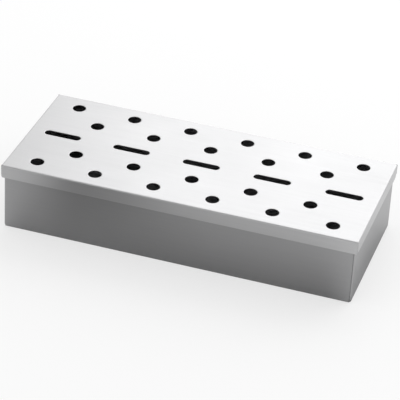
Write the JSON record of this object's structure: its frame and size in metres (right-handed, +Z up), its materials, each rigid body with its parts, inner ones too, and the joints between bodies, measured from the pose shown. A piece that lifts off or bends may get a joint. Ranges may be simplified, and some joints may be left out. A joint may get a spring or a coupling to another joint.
{
  "type": "grill smoker box",
  "caption": "Long, low smoker box for a grill: an open tray folded from stainless sheet, under a perforated cap lid that lifts off.",
  "frame": {"origin": "bottom centre of the box, on the surface that the tray stands on", "axes": "+X along the box, -Y towards its front, +Z up"},
  "size_m": [0.21, 0.09, 0.0412],
  "materials": {
    "tray_steel": "stainless sheet, brushed along its length",
    "lid_steel": "stainless sheet, brushed along its length, with sheared and punched edges"
  },
  "bodies": {
    "tray": {"tray": "tray_steel"},
    "lid": {"lid": "lid_steel"}
  },
  "joints": [
    {"name": "lid_lift", "type": "slide", "parent": "tray", "child": "lid", "axis": [0, 0, 1], "range_m": [0, 0.06]}
  ]
}
